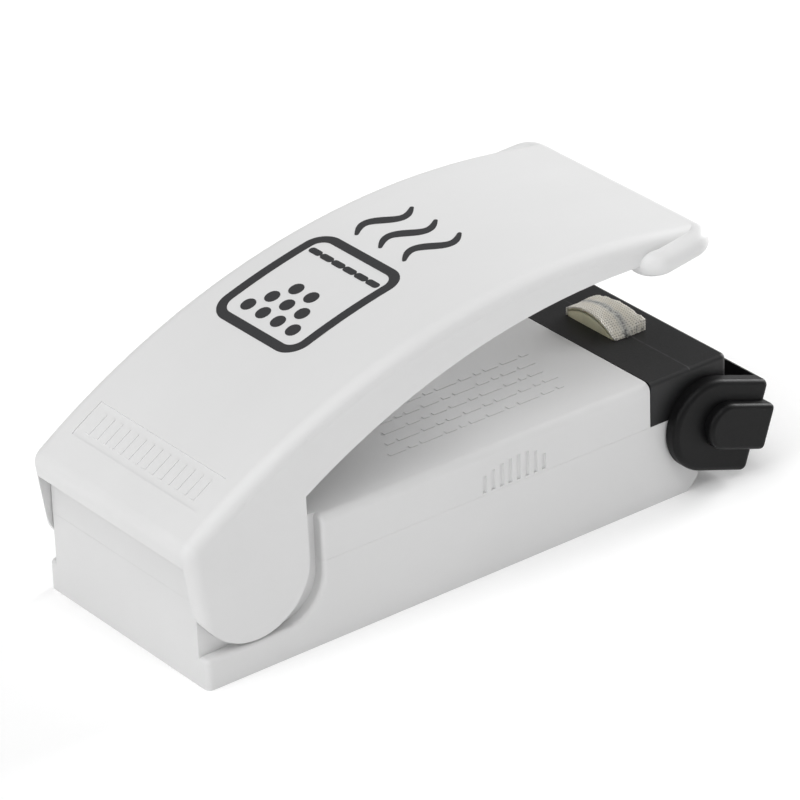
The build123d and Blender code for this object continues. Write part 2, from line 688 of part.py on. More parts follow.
def contact_spring(wide_x, y, direction):
    """Conical coil that presses on the flat end of a cell."""
    wire_r = 0.3
    height = NEGATIVE_GAP - 2 * wire_r - 0.04
    path = Helix(pitch=height / 3.5, height=height, radius=4.4, cone_angle=-18)
    coil = sweep(Plane(origin=path @ 0, z_dir=path % 0) * Circle(wire_r), path=path, is_frenet=True)
    start = wide_x + direction * (wire_r + 0.02)
    return Pos(start, y, CELL_Z) * Rot(0, 90 * direction, 0) * coil


def cell_can(y, flat_x, direction):
    """Steel can of an AA cell with its positive nub."""
    can_end = flat_x + direction * (CELL_LENGTH - CELL_NUB_H)
    nub_end = flat_x + direction * CELL_LENGTH
    can = lengthwise(y, CELL_Z, CELL_R - SLEEVE_T, min(flat_x, can_end), max(flat_x, can_end))
    can = fillet(can.edges().filter_by(GeomType.CIRCLE), 0.5)
    nub = lengthwise(y, CELL_Z, CELL_NUB_R, min(can_end, nub_end), max(can_end, nub_end))
    return can + nub


def cell_sleeve(y, flat_x, direction):
    """Printed plastic sleeve shrunk on the can."""
    x0 = flat_x + direction * 0.6
    x1 = flat_x + direction * (CELL_LENGTH - CELL_NUB_H - 0.6)
    low = min(x0, x1)
    high = max(x0, x1)
    outer = lengthwise(y, CELL_Z, CELL_R, low, high)
    return outer - lengthwise(y, CELL_Z, CELL_R - SLEEVE_T + 0.005, low - 1, high + 1)


# ---------------------------------------------------------------- guard


def guard_ear():
    ear = crosswise(0, 0, GUARD_R, GUARD_INNER_Y, GUARD_OUTER_Y)
    ear += block(0, GUARD_REACH, GUARD_INNER_Y, GUARD_OUTER_Y, -GUARD_R, GUARD_R)
    return ear


def guard_grip():
    """Raised band round the guard: a rounded end on each ear and a bar across the front."""
    middle = (GRIP_LOW + GRIP_HIGH) / 2
    radius = (GRIP_HIGH - GRIP_LOW) / 2
    end_x = GRIP_REAR + radius
    side = crosswise(end_x, middle, radius, GUARD_OUTER_Y - 0.2, GRIP_OUTER_Y)
    side += block(end_x, GRIP_REACH, GUARD_OUTER_Y - 0.2, GRIP_OUTER_Y, GRIP_LOW, GRIP_HIGH)
    front = block(GUARD_REACH - 0.2, GRIP_REACH, -GRIP_OUTER_Y, GRIP_OUTER_Y, GRIP_LOW, GRIP_HIGH)
    band = both_sides(side) + front
    return fillet(band.edges().filter_by(Axis.Y).group_by(Axis.X)[-1], 0.8)


def guard():
    plate_x = GUARD_REACH - GUARD_PLATE_T
    body = both_sides(guard_ear())
    body += block(plate_x, GUARD_REACH, -GUARD_OUTER_Y, GUARD_OUTER_Y, -GUARD_R, GUARD_R)
    corners = body.edges().filter_by(Axis.Y).group_by(Axis.X)[-1]
    body = fillet(corners, 1.0)
    outer_faces = body.faces().filter_by(Axis.Y).filter_by(lambda f: abs(f.center().Y) > GUARD_OUTER_Y - 0.1)
    body = fillet(outer_faces.edges(), 0.8)
    grip = guard_grip()
    grip_faces = grip.faces().filter_by(Axis.Y).filter_by(lambda f: abs(f.center().Y) > GRIP_OUTER_Y - 0.1)
    grip = fillet(grip_faces.edges(), 0.7)
    body += grip
    placed = Pos(GUARD_X, 0, GUARD_Z) * Rot(0, GUARD_DROOP, 0) * body
    peg = crosswise(GUARD_PIVOT_X, GUARD_PIVOT_Z, GUARD_PEG_R, GUARD_PEG_END_Y + 0.1, GUARD_INNER_Y + 0.4)
    return placed + both_sides(peg)


# ---------------------------------------------------------------- writing


def parts():
    """Every sub-part under its node name."""
    rear_flat = REAR_CONTACT_X + NEGATIVE_GAP
    front_flat = FRONT_CONTACT_X - NEGATIVE_GAP
    return {
        "lower_housing": lower_housing(),
        "upper_housing": upper_housing(),
        "battery_door": battery_door(),
        "housing_screws": housing_screws(),
        "lever_arm": lever_arm(),
        "press_pad": press_pad(),
        "return_spring": return_spring(),
        "heater_block": heater_block(),
        "heater_core": heater_core(),
        "heating_ribbon": heating_ribbon(),
        "heater_cloth": heater_cloth(),
        "terminal_near": terminal(-1, 78.72),
        "terminal_far": terminal(1, BLADE_PIVOT_X + 0.1),
        "terminal_screws": terminal_screws(),
        "switch_blade": switch_blade(),
        "switch_fixed_contact": switch_fixed_contact(),
        "lead_wire_positive": lead_wire_positive(),
        "lead_wire_switch": lead_wire_switch(),
        "rear_contact_plate": rear_contact_plate(),
        "rear_contact_spring": contact_spring(REAR_CONTACT_X, -CELL_Y, 1),
        "front_positive_contact": front_positive_contact(),
        "front_negative_contact": front_negative_contact(),
        "front_contact_spring": contact_spring(FRONT_CONTACT_X, CELL_Y, -1),
        "cell_near": cell_can(-CELL_Y, rear_flat, 1),
        "cell_near_sleeve": cell_sleeve(-CELL_Y, rear_flat, 1),
        "cell_far": cell_can(CELL_Y, front_flat, -1),
        "cell_far_sleeve": cell_sleeve(CELL_Y, front_flat, -1),
        "guard": guard(),
    }


os.makedirs("parts", exist_ok=True)
for name, shape in parts().items():
    export_step(Pos(-MIDDLE_X, 0, 0) * shape, f"parts/{name}.step")
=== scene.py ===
import math
import random

import bpy
from mathutils import Matrix, Vector, noise


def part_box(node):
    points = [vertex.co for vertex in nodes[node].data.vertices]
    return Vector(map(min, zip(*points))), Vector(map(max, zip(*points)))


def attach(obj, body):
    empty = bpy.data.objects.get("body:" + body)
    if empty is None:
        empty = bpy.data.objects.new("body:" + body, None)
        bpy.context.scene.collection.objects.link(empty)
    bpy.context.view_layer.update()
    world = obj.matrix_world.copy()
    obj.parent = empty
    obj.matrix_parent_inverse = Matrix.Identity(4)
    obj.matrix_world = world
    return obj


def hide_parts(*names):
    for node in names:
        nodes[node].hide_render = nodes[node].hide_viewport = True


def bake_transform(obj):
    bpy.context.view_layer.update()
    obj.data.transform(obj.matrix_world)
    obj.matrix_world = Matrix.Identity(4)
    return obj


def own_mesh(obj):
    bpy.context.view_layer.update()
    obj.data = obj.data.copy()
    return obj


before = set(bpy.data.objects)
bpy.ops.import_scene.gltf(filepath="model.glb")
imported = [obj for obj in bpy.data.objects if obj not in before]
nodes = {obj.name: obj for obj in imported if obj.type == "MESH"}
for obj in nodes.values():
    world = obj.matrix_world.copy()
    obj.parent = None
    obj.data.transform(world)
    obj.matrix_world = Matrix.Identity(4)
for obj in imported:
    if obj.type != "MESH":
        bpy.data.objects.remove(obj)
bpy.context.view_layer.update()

MM = 0.001


# ---------------------------------------------------------------- places read from the frame

block_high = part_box("heater_block")[1]
cloth_low, cloth_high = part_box("heater_cloth")
core_low, core_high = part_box("heater_core")
ribbon_low, ribbon_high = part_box("heating_ribbon")
REAR_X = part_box("lower_housing")[0].x
BLOCK_TOP = block_high.z
SCORCH_X = cloth_low.x + 2.9 * MM        # the scorched line along the cloth
MOULD_LINE_X = REAR_X + 81.75 * MM       # the mould line across the block's top

# The lever's top is an arc seen from the side; these are its radius and centre.
LEVER_TOP_R = 108.56 * MM
LEVER_TOP_X = REAR_X + 61.4 * MM
LEVER_TOP_Z = -67.0 * MM


# ---------------------------------------------------------------- camera

CAMERA_ANGLES = (-36.641, 28.147, -2.183)      # azimuth, elevation and roll in degrees
CAMERA_PLACE = (-383.2 * MM, -515.3 * MM, 362.9 * MM)
CAMERA_LENS = 244.05
CAMERA_SENSOR = 36


def add_camera():
    """A long lens from behind and to the right of the lever, a little rolled."""
    azimuth, elevation, roll = (math.radians(a) for a in CAMERA_ANGLES)
    back = Vector((math.sin(azimuth) * math.cos(elevation),
                   -math.cos(azimuth) * math.cos(elevation),
                   math.sin(elevation)))
    right = Vector((math.cos(azimuth), math.sin(azimuth), 0))
    up = back.cross(right)
    right_rolled = right * math.cos(roll) + up * math.sin(roll)
    up_rolled = up * math.cos(roll) - right * math.sin(roll)
    data = bpy.data.cameras.new("camera")
    data.lens = CAMERA_LENS
    data.sensor_width = CAMERA_SENSOR
    data.clip_start = 0.02
    data.clip_end = 20
    camera = bpy.data.objects.new("camera", data)
    bpy.context.scene.collection.objects.link(camera)
    place = Matrix.Identity(4)
    for row in range(3):
        place[row][0] = right_rolled[row]
        place[row][1] = up_rolled[row]
        place[row][2] = back[row]
        place[row][3] = CAMERA_PLACE[row]
    camera.matrix_world = place
    bpy.context.scene.camera = camera


add_camera()


# ---------------------------------------------------------------- materials

def linear(value):
    """A display grey from 0 to 255 as linear light."""
    v = value / 255
    return v / 12.92 if v <= 0.04045 else ((v + 0.055) / 1.055) ** 2.4


def rgb(r, g, b):
    """A display colour, each part from 0 to 255, as linear light with full opacity."""
    return (linear(r), linear(g), linear(b), 1)


class Nodes:
    """Short ways to add shader nodes to a new material."""

    def __init__(self, name):
        self.material = bpy.data.materials.new(name)
        self.material.use_nodes = True
        self.tree = self.material.node_tree
        self.shader = self.tree.nodes["Principled BSDF"]
        self.coords = self.add("ShaderNodeTexCoord").outputs["Object"]

    def add(self, kind, **settings):
        node = self.tree.nodes.new(kind)
        for key, value in settings.items():
            setattr(node, key, value)
        return node

    def link(self, source, target):
        self.tree.links.new(source, target)

    def noise(self, per_metre, detail=3.0, rough=0.55, stretch=(1, 1, 1)):
        """Noise with so many features to the metre, from 0 to 1."""
        mapping = self.add("ShaderNodeMapping")
        mapping.inputs["Scale"].default_value = stretch
        self.link(self.coords, mapping.inputs["Vector"])
        texture = self.add("ShaderNodeTexNoise")
        texture.inputs["Scale"].default_value = per_metre
        texture.inputs["Detail"].default_value = detail
        texture.inputs["Roughness"].default_value = rough
        self.link(mapping.outputs["Vector"], texture.inputs["Vector"])
        return texture.outputs["Fac"]

    def ranged(self, value, low, high, new_low, new_high):
        """The value, from low to high, mapped to another range."""
        node = self.add("ShaderNodeMapRange")
        node.inputs["From Min"].default_value = low
        node.inputs["From Max"].default_value = high
        node.inputs["To Min"].default_value = new_low
        node.inputs["To Max"].default_value = new_high
        self.link(value, node.inputs["Value"])
        return node.outputs["Result"]

    def math(self, operation, a, b=0.0):
        node = self.add("ShaderNodeMath", operation=operation)
        for socket, value in zip(node.inputs, (a, b)):
            if hasattr(value, "is_linked"):
                self.link(value, socket)
            else:
                socket.default_value = value
        return node.outputs["Value"]

    def mix(self, factor, a, b):
        """A colour between a and b."""
        node = self.add("ShaderNodeMix", data_type="RGBA")
        self.link(factor, node.inputs["Factor"])
        for socket, value in ((node.inputs["A"], a), (node.inputs["B"], b)):
            if hasattr(value, "is_linked"):
                self.link(value, socket)
            else:
                socket.default_value = value
        return node.outputs["Result"]

    def axis(self, name):
        """One of the object's coordinates, in metres."""
        node = self.add("ShaderNodeSeparateXYZ")
        self.link(self.coords, node.inputs["Vector"])
        return node.outputs[name]

    def bump(self, height, distance, strength=1.0):
        node = self.add("ShaderNodeBump")
        node.inputs["Distance"].default_value = distance
        node.inputs["Strength"].default_value = strength
        self.link(height, node.inputs["Height"])
        self.link(node.outputs["Normal"], self.shader.inputs["Normal"])

    def colour(self, value):
        self.link(value, self.shader.inputs["Base Color"])

    def roughness(self, value):
        self.link(value, self.shader.inputs["Roughness"])


def moulded_plastic(name, tone, darker, rough, grain_depth, wear, gloss=0.5):
    """Moulded plastic with a fine eroded grain, faint flow marks and small rubbed spots."""
    n = Nodes(name)
    broad = n.noise(45, 4, stretch=(0.5, 1, 1))
    fine = n.noise(5200, 2)
    rubbed = n.ranged(n.noise(260, 5, 0.7), 0.6, 0.8, 0, wear)
    shade = n.mix(n.ranged(broad, 0.3, 0.7, 0, 1), tone, darker)
    n.colour(n.mix(rubbed, shade, (*[min(1, c * 1.25 + 0.004) for c in tone[:3]], 1)))
    n.roughness(n.math("SUBTRACT", n.ranged(fine, 0.25, 0.75, rough - 0.05, rough + 0.07), rubbed))
    n.bump(n.math("ADD", fine, n.math("MULTIPLY", broad, 0.6)), grain_depth)
    n.shader.inputs["IOR"].default_value = 1.5
    n.shader.inputs["Specular IOR Level"].default_value = gloss
    return n


def brushed_metal(name, tone, rough, stretch, dark=0.8):
    """Rolled or drawn metal with fine lines along one direction and dull stains."""
    n = Nodes(name)
    lines = n.noise(9000, 2, stretch=stretch)
    stain = n.noise(400, 4)
    darker = (*[c * dark for c in tone[:3]], 1)
    n.colour(n.mix(n.ranged(stain, 0.35, 0.7, 0, 1), tone, darker))
    n.roughness(n.math("ADD", n.ranged(lines, 0.2, 0.8, rough - 0.08, rough + 0.1),
                       n.ranged(stain, 0.4, 0.8, 0, 0.1)))
    n.bump(lines, 0.004 * MM)
    n.shader.inputs["Metallic"].default_value = 1
    return n


def rubber(name, tone, rough, grain):
    """Matt rubber or soft plastic with a little light passing under its skin."""
    n = Nodes(name)
    broad = n.noise(350, 4)
    fine = n.noise(grain, 3)
    n.colour(n.mix(n.ranged(broad, 0.3, 0.7, 0, 1), tone, (*[c * 0.86 for c in tone[:3]], 1)))
    n.roughness(n.ranged(fine, 0.3, 0.7, rough - 0.06, rough + 0.06))
    n.bump(fine, 0.012 * MM)
    n.shader.inputs["Subsurface Weight"].default_value = 0.1
    n.shader.inputs["Subsurface Radius"].default_value = (0.6 * MM, 0.4 * MM, 0.25 * MM)
    n.shader.inputs["Subsurface Scale"].default_value = 1.0
    return n


def heat_cloth_material():
    """Coated glass cloth: glossy pale threads, gaps darkened partly by their own tan colour and partly by
    painted shade, and a scorched line over the ribbon.
    """
    n = Nodes("glass_cloth")
    x = n.axis("X")
    y = n.axis("Y")
    weave = n.add("ShaderNodeAttribute", attribute_name="weave").outputs["Fac"]
    # painted shade: colour runs from dark tan in the low gaps between threads to the pale thread crowns,
    # partly the gaps' own tan colour
    thread = n.mix(n.ranged(weave, 0.16, 0.62, 0, 1), rgb(84, 68, 44), rgb(255, 251, 240))
    tint = n.mix(n.ranged(n.noise(700, 4), 0.5, 0.75, 0, 0.2), thread, rgb(230, 216, 180))
    bend = n.math("MULTIPLY", n.math("MINIMUM", n.math("ADD", y, 2.0 * MM), 0.0), 0.26)
    off = n.math("SUBTRACT", x, n.math("ADD", bend, SCORCH_X))
    wander = n.math("ADD", off, n.ranged(n.noise(700, 3), 0.3, 0.7, -0.3 * MM, 0.3 * MM))
    broad = n.ranged(n.math("ABSOLUTE", wander), 0.25 * MM, 0.85 * MM, 0.4, 0)
    broken = n.ranged(n.noise(2600, 3, 0.7), 0.44, 0.6, 0, 0.75)
    narrow = n.ranged(n.math("ABSOLUTE", wander), 0.08 * MM, 0.3 * MM, 1, 0)
    greyed = n.mix(broad, tint, rgb(150, 158, 168))
    scorched = n.mix(n.math("MULTIPLY", narrow, broken), greyed, rgb(38, 42, 50))
    near_end = n.ranged(y, cloth_low.y + 0.9 * MM, cloth_low.y + 0.1 * MM, 0, 1)
    blotch = n.ranged(n.noise(1500, 3, 0.65), 0.52, 0.62, 0, 0.8)
    n.colour(n.mix(n.math("MULTIPLY", near_end, blotch), scorched, rgb(52, 50, 48)))
    fibres = n.noise(14000, 2, stretch=(1, 0.25, 1))
    n.roughness(n.ranged(fibres, 0.2, 0.8, 0.22, 0.42))
    n.bump(fibres, 0.01 * MM)
    n.shader.inputs["Specular IOR Level"].default_value = 0.8
    n.shader.inputs["Sheen Weight"].default_value = 0.1
    n.shader.inputs["Sheen Roughness"].default_value = 0.4
    return n


def block_material():
    """The black block's plastic, with a faint mould line across its top drawn as a lighter painted
    highlight.
    """
    n = moulded_plastic("black_block", rgb(30, 30, 31), rgb(25, 25, 26), 0.46, 0.016 * MM, 0.03, 0.4)
    off = n.math("ABSOLUTE", n.math("SUBTRACT", n.axis("X"), MOULD_LINE_X))
    line = n.ranged(off, 0.05 * MM, 0.16 * MM, 1, 0)
    top = n.ranged(n.axis("Z"), BLOCK_TOP - 0.4 * MM, BLOCK_TOP - 0.2 * MM, 0, 1)
    # painted highlight: the mould line is lighter on the top face only, broken up by noise
    mould_line_highlight = n.math("MULTIPLY", n.math("MULTIPLY", line, top), n.ranged(n.noise(900, 3), 0.3, 0.6, 0.3, 0.9))
    plain = n.shader.inputs["Base Color"].links[0].from_socket
    n.colour(n.mix(mould_line_highlight, plain, rgb(62, 62, 63)))
    return n


def ink_material():
    """Dark grey pad-printed ink, a little uneven where it thins out."""
    n = Nodes("printed_ink")
    thin = n.ranged(n.noise(1800, 4, 0.7), 0.62, 0.85, 0, 0.35)
    n.colour(n.mix(thin, rgb(46, 46, 48), rgb(96, 96, 96)))
    n.roughness(n.ranged(n.noise(3000, 2), 0.3, 0.7, 0.42, 0.55))
    n.bump(n.noise(4200, 3), 0.006 * MM)
    return n


def cell_sleeve_material():
    """Dark shrink sleeve with a plain copper-coloured band at one end."""
    n = Nodes("cell_sleeve")
    cell_low, cell_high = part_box("cell_near")
    off = n.math("ABSOLUTE", n.math("SUBTRACT", n.axis("X"), (cell_low.x + cell_high.x) / 2))
    band = n.ranged(off, 14.9 * MM, 15.1 * MM, 0, 1)
    scuffs = n.ranged(n.noise(700, 5, 0.7), 0.62, 0.75, 0, 0.35)
    n.colour(n.mix(scuffs, n.mix(band, rgb(38, 42, 48), rgb(176, 122, 66)), rgb(150, 150, 150)))
    n.roughness(n.ranged(n.noise(500, 4), 0.3, 0.7, 0.2, 0.38))
    n.bump(n.noise(1500, 3), 0.01 * MM)
    n.shader.inputs["Coat Weight"].default_value = 0.3
    return n


white = moulded_plastic("white_abs", rgb(219, 219, 219), rgb(215, 215, 215), 0.5, 0.012 * MM, 0.05)
lever_white = moulded_plastic("lever_abs", rgb(222, 222, 222), rgb(218, 218, 218), 0.46, 0.01 * MM, 0.05)
black = block_material()
guard_black = moulded_plastic("black_guard", rgb(14, 14, 15), rgb(11, 11, 12), 0.46, 0.012 * MM, 0.02, 0.18)
screw_steel = brushed_metal("screw_steel", rgb(190, 190, 188), 0.32, (1, 1, 0.1))
wire_steel = brushed_metal("spring_steel", rgb(196, 196, 196), 0.25, (1, 1, 1))
nickel = brushed_metal("nickel_plate", rgb(205, 200, 190), 0.22, (1, 0.08, 1))
can_steel = brushed_metal("cell_can", rgb(205, 205, 205), 0.28, (0.05, 1, 1))
brass = brushed_metal("brass_strip", rgb(212, 178, 104), 0.3, (0.08, 1, 1))
bronze = brushed_metal("bronze_blade", rgb(205, 158, 104), 0.3, (0.08, 1, 1))
nichrome = brushed_metal("nichrome", rgb(160, 158, 154), 0.35, (1, 0.06, 1))
silicone_beige = rubber("core_silicone", rgb(248, 243, 208), 0.5, 2500)
silicone_grey = rubber("press_silicone", rgb(196, 190, 178), 0.55, 2500)
red_pvc = rubber("red_insulation", rgb(176, 34, 28), 0.4, 3000)
black_pvc = rubber("black_insulation", rgb(36, 36, 38), 0.4, 3000)
cloth = heat_cloth_material()
ink = ink_material()
sleeve = cell_sleeve_material()

FINISHES = {
    white: ("lower_housing", "upper_housing", "battery_door"),
    lever_white: ("lever_arm",),
    black: ("heater_block",),
    guard_black: ("guard",),
    screw_steel: ("housing_screws", "terminal_screws"),
    wire_steel: ("return_spring", "rear_contact_spring", "front_contact_spring"),
    nickel: ("rear_contact_plate", "front_positive_contact", "front_negative_contact"),
    can_steel: ("cell_near", "cell_far"),
    brass: ("terminal_near", "terminal_far", "switch_fixed_contact"),
    bronze: ("switch_blade",),
    nichrome: ("heating_ribbon",),
    silicone_beige: ("heater_core",),
    silicone_grey: ("press_pad",),
    red_pvc: ("lead_wire_positive",),
    black_pvc: ("lead_wire_switch",),
    cloth: ("heater_cloth",),
    sleeve: ("cell_near_sleeve", "cell_far_sleeve"),
}
for finish, names in FINISHES.items():
    for node_name in names:
        nodes[node_name].data.materials.clear()
        nodes[node_name].data.materials.append(finish.material)


# ---------------------------------------------------------------- making pieces

def add_piece(name, vertices, faces, finish, body, smooth=True):
    """A new mesh piece in the frame's own coordinates, riding on a body if one is named."""
    mesh = bpy.data.meshes.new(name)
    mesh.from_pydata([tuple(v) for v in vertices], [], faces)
    mesh.materials.append(finish.material)
    mesh.polygons.foreach_set("use_smooth", [smooth] * len(mesh.polygons))
    mesh.update()
    piece = bpy.data.objects.new(name, mesh)
    bpy.context.scene.collection.objects.link(piece)
    if body:
        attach(piece, body)
    return piece


# ---------------------------------------------------------------- heating pad

CLOTH_T = 0.17 * MM
THREAD_PITCH = 0.40 * MM
THREAD_SHARE = 0.47       # half a thread's width as a share of the pitch
THREAD_LIFT = 0.12 * MM   # how far a thread rises where it crosses over
FOLD_Y = -4.1 * MM        # the pad is pinched in from here to its near end
FOLD_DEPTH = 0.24 * MM


def blend(low, high, value):
    """0 at low, 1 at high and beyond, and a smooth step between."""
    t = min(1, max(0, (value - low) / (high - low)))
    return t * t * (3 - 2 * t)


def pad_height(y, share):
    """Height of the cloth along the pad: the rear edge falls to the near end, the front stays full."""
    rear = BLOCK_TOP + (2.36 - 0.066 * (y / MM - 0.8) ** 2) * MM
    front = BLOCK_TOP + (2.14 - 0.024 * (y / MM + 0.6) ** 2) * MM
    return rear + (front - rear) * blend(0, 1, share)


def pad_line(half, sink, foot_z, share, count):
    """Points from the near foot over the top to the far foot, evenly spaced, corners rounded."""
    ends = 9
    corners = [(-half, foot_z + (max(foot_z, pad_height(-half, share) - sink) - foot_z) * k / ends)
               for k in range(ends)]
    runs = 60
    for k in range(runs + 1):
        y = -half + 2 * half * k / runs
        corners.append((y, max(foot_z + 0.05 * MM, pad_height(y, share) - sink)))
    corners += [(half, foot_z + (pad_height(half, share) - sink - foot_z) * (ends - 1 - k) / ends)
                for k in range(ends)]
    lengths = [0.0]
    for a, b in zip(corners, corners[1:]):
        lengths.append(lengths[-1] + math.hypot(b[0] - a[0], b[1] - a[1]))
    points = []
    at = 0
    for k in range(count):
        wanted = lengths[-1] * k / (count - 1)
        while at < len(corners) - 2 and lengths[at + 1] < wanted:
            at += 1
        run = lengths[at + 1] - lengths[at] or 1
        t = (wanted - lengths[at]) / run
        points.append((corners[at][0] + (corners[at + 1][0] - corners[at][0]) * t,
                       corners[at][1] + (corners[at + 1][1] - corners[at][1]) * t))
    for _ in range(round(0.02 * count) + 3):
        inner = [((a[0] + 2 * b[0] + c[0]) / 4, (a[1] + 2 * b[1] + c[1]) / 4)
                 for a, b, c in zip(points, points[1:], points[2:])]
        points = points[:1] + inner + points[-1:]
    return points


def with_normals(points):
    """Each point of a line in Y and Z with the outward direction across it."""
    rows = []
    for k, (y, z) in enumerate(points):
        before = points[max(k - 1, 0)]
        after = points[min(k + 1, len(points) - 1)]
        dy, dz = after[0] - before[0], after[1] - before[1]
        size = math.hypot(dy, dz) or 1
        rows.append((y, z, -dz / size, dy / size))
    return rows


def weave_height(along, across):
    """Plain weave: the higher of the warp and the weft thread at a point, from 0 to 1."""
    along, across = along / THREAD_PITCH, across / THREAD_PITCH
    warp, weft = round(across), round(along)
    warp_round = math.sqrt(max(0.0, 1 - ((across - warp) / THREAD_SHARE) ** 2))
    weft_round = math.sqrt(max(0.0, 1 - ((along - weft) / THREAD_SHARE) ** 2))
    warp_wave = 0.5 + 0.5 * math.cos(math.pi * (along + warp))
    weft_wave = 0.5 - 0.5 * math.cos(math.pi * (across + weft))
    return max(warp_round * (0.3 + 0.7 * warp_wave), weft_round * (0.3 + 0.7 * weft_wave))


def tuck(y):
    """How far the near end of the pad is pinched in under its crease."""
    return FOLD_DEPTH * blend(FOLD_Y, FOLD_Y - 0.9 * MM, y)


def edge_wave(y, seed, slow, fast):
    """How far a cut edge of the cloth strays, slowly and from thread to thread."""
    return (slow * noise.noise((y / (1.1 * MM), seed, 0))
            + fast * noise.noise((y / (0.25 * MM), seed + 8, 0)))


def grid_faces(rows, count):
    """Quads over a grid of points, rows + 1 lines of count points."""
    faces = []
    for i in range(rows):
        for k in range(count - 1):
            a = i * count + k
            faces.append((a, a + count, a + count + 1, a + 1))
    return faces


def slab_faces(rows, count):
    """Faces of a closed slab whose points are an outer grid, then an inner grid of the same form."""
    inner = (rows + 1) * count
    faces = grid_faces(rows, count)
    faces += [tuple(index + inner for index in (a, d, c, b)) for a, b, c, d in faces]
    for k in range(count - 1):
        faces.append((k, k + 1, k + 1 + inner, k + inner))
        a = rows * count + k
        faces.append((a, a + inner, a + 1 + inner, a + 1))
    for i in range(rows):
        a = i * count
        faces.append((a, a + inner, a + count + inner, a + count))
        a = i * count + count - 1
        faces.append((a, a + count, a + count + inner, a + inner))
    return faces


def set_weave(piece, heights):
    """How high each point of a cloth piece stands in the weave, which its material reads to darken the low
    gaps with painted shade.
    """
    layer = piece.data.attributes.new("weave", "FLOAT", "POINT")
    layer.data.foreach_set("value", heights)


def add_heater_cloth():
    """Woven glass cloth over the cushion, with wavy cut edges and a pinched near end."""
    half = cloth_high.y - 0.08 * MM
    count = 262
    columns = 92
    vertices = []
    heights = []
    lower = []
    for i in range(columns + 1):
        share = i / columns
        line = with_normals(pad_line(half, 0, BLOCK_TOP + 0.02 * MM, share, count))
        travelled = 0.0
        for k, (y, z, normal_y, normal_z) in enumerate(line):
            if k:
                travelled += math.hypot(y - line[k - 1][0], z - line[k - 1][1])
            x0 = cloth_low.x - 0.03 * MM + edge_wave(y, 3.1, 0.05 * MM, 0.04 * MM)
            x1 = cloth_high.x + 0.22 * MM + edge_wave(y, 17.7, 0.24 * MM, 0.07 * MM)
            x = x0 + (x1 - x0) * share
            drift = 0.22 * MM * noise.noise((x / (3 * MM), y / (3 * MM), 1.5))
            h = weave_height(travelled + drift, x + drift)
            curl = 0.12 * MM * (max(0, 0.12 - share) + max(0, share - 0.88)) / 0.12
            lift = THREAD_LIFT * h + curl * noise.noise((y / (0.8 * MM), share * 3, 7))
            ripple = 0.06 * MM * noise.noise((x / (1.5 * MM), y / (1.7 * MM), 4))
            crease = math.exp(-((share - 0.42 - 0.05 * (z - BLOCK_TOP) / MM) / 0.07) ** 2)
            out = lift + ripple - tuck(y) * crease
            vertices.append((x, y + normal_y * out, max(BLOCK_TOP + 0.005 * MM, z + normal_z * out)))
            low = out - CLOTH_T
            lower.append((x, y + normal_y * low, max(BLOCK_TOP + 0.003 * MM, z + normal_z * low)))
            heights.append(h)
    heights += [0.6] * len(lower)
    vertices += lower
    piece = add_piece("pad_cloth", vertices, slab_faces(columns, count), cloth, "housing")
    set_weave(piece, heights)
    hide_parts("heater_cloth")


def add_core():
    """Silicone cushion under the cloth, with soft edges and slightly bulging sides."""
    half = core_high.y + 0.08 * MM
    across = [0, 0.012, 0.035, 0.075, 0.14, 0.3, 0.5, 0.7, 0.86, 0.925, 0.965, 0.988, 1]
    count = 90
    last = len(across) - 1
    vertices = []
    edge_round = 0.14 * MM
    width = core_high.x - core_low.x
    for share in across:
        near_edge = min(share, 1 - share) * width
        inset = 0.0
        if near_edge < edge_round:
            inset = edge_round - math.sqrt(edge_round**2 - (edge_round - near_edge) ** 2)
        x = core_low.x + share * width
        sink = CLOTH_T + 0.03 * MM + 0.14 * MM * blend(0.12, 0.28, share) * blend(0.88, 0.72, share)
        for y, z, normal_y, normal_z in with_normals(pad_line(half, sink, core_low.z, share, count)):
            inset_here = inset + tuck(y)
            vertices.append((x, y - normal_y * inset_here, z - normal_z * inset_here))
    faces = grid_faces(last, count)
    rings = 7
    for side, column in ((-1, 0), (1, last)):
        rim = [column * count + k for k in range(count)]
        previous = rim
        for ring in range(1, rings + 1):
            share = ring / rings
            current = []
            for index in rim:
                x, y, z = vertices[index]
                swell = 0.1 * MM * math.sin(math.pi * share) * math.cos(y / half * 1.2)
                current.append(len(vertices))
                vertices.append((x + side * swell, y, z + (core_low.z - z) * share))
            for k in range(count - 1):
                quad = (previous[k], current[k], current[k + 1], previous[k + 1])
                faces.append(quad[::-1] if side > 0 else quad)
            previous = current
    piece = add_piece("pad_core", vertices, faces, silicone_beige, "housing")
    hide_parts("heater_core")


def add_strip():
    """Heating strip between the cushion and the cloth; its legs go down through the block."""
    count = 150
    thick = 0.1 * MM
    columns = 6
    leg_y = ribbon_high.y - 0.02 * MM
    foot = ribbon_low.z
    vertices = []
    for layer in (0, thick):
        for i in range(columns + 1):
            x = ribbon_low.x + (ribbon_high.x - ribbon_low.x) * i / columns
            share = (x - cloth_low.x) / (cloth_high.x - cloth_low.x)
            line = pad_line(leg_y - layer, CLOTH_T + 0.04 * MM + layer, foot, share, count)
            for y, z, normal_y, normal_z in with_normals(line):
                pinch = tuck(y) * blend(BLOCK_TOP - 0.5 * MM, BLOCK_TOP + 0.3 * MM, z)
                vertices.append((x, y - normal_y * pinch, z - normal_z * pinch))
    piece = add_piece("heating_strip", vertices, slab_faces(columns, count), nichrome, "housing")
    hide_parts("heating_ribbon")


